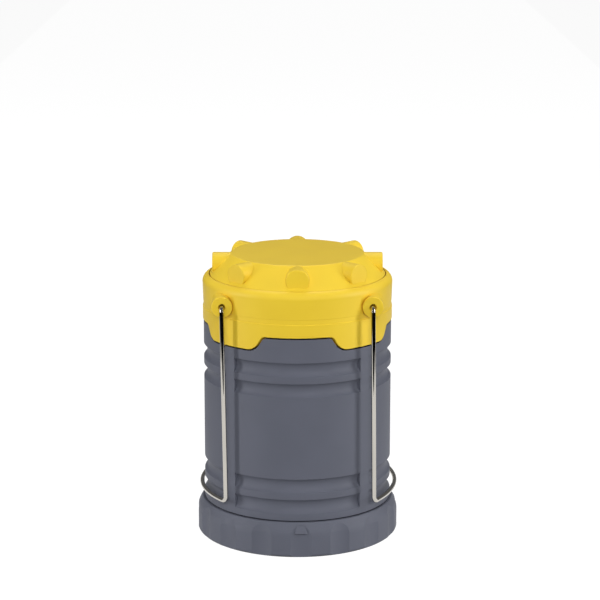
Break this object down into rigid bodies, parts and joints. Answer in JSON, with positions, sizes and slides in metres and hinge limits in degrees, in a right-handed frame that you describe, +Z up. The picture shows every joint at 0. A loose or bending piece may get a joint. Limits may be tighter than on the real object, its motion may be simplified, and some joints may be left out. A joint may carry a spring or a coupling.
{
  "type": "camping lantern",
  "caption": "Round pop-up camping lantern, shown closed: ribbed grey body on a fluted twist-off base, yellow knobbed cap with castellated skirt, wire bail handles each side.",
  "frame": {"origin": "middle of the underside, where the lantern stands", "axes": "+Z up along the body, the wire handles hang at +X and -X, -Y is the front"},
  "size_m": [0.0882, 0.0882, 0.1247],
  "materials": {
    "grey_shell": "fine moulded satin, slate grey",
    "yellow_shell": "fine moulded satin, warm yellow",
    "handle_wire": "polished nickel plating",
    "clear_shroud": "clear moulded plastic",
    "bright_reflector": "vacuum-metallised plastic",
    "white_plastic": "satin white moulding",
    "white_board": "white solder mask",
    "led_lens": "phosphor under clear resin",
    "green_board": "green solder mask",
    "black_plastic": "plain black moulding",
    "cell_sleeve": "plain shrink sleeve",
    "contact_metal": "stamped and plated strip",
    "seal_rubber": "moulded black rubber",
    "screw_steel": "zinc plated"
  },
  "bodies": {
    "housing": {"body_shell": "grey_shell", "retaining_collar": "black_plastic", "battery_tube": "black_plastic", "battery_cage": "black_plastic", "battery_cells": "cell_sleeve", "cell_contacts": "contact_metal", "contact_rails": "contact_metal", "neck_seal": "seal_rubber"},
    "base": {"base_cover": "grey_shell", "cover_contact": "contact_metal"},
    "lamp_head": {"cap_ring": "yellow_shell", "cap_lid": "yellow_shell", "lid_screws": "screw_steel", "driver_board": "green_board", "board_screws": "screw_steel", "lamp_shroud": "clear_shroud", "upper_reflector": "bright_reflector", "lower_reflector": "bright_reflector", "led_column": "white_plastic", "led_boards": "white_board", "leds": "led_lens", "wiper_contacts": "contact_metal"},
    "left_bail": {"left_handle": "handle_wire"},
    "right_bail": {"right_handle": "handle_wire"}
  },
  "joints": [
    {"name": "lamp_slide", "type": "slide", "parent": "housing", "child": "lamp_head", "axis": [0, 0, 1], "range_m": [0, 0.055]},
    {"name": "cover_twist", "type": "hinge", "parent": "housing", "child": "base", "pos_m": [0, 0, 0], "axis": [0, 0, -1], "range_deg": [0, 30]},
    {"name": "left_handle_swing", "type": "hinge", "parent": "lamp_head", "child": "left_bail", "pos_m": [-0.032, 0, 0.1073], "axis": [0, 1, 0], "range_deg": [0, 193]},
    {"name": "right_handle_swing", "type": "hinge", "parent": "lamp_head", "child": "right_bail", "pos_m": [0.032, 0, 0.1073], "axis": [0, -1, 0], "range_deg": [0, 193]}
  ]
}
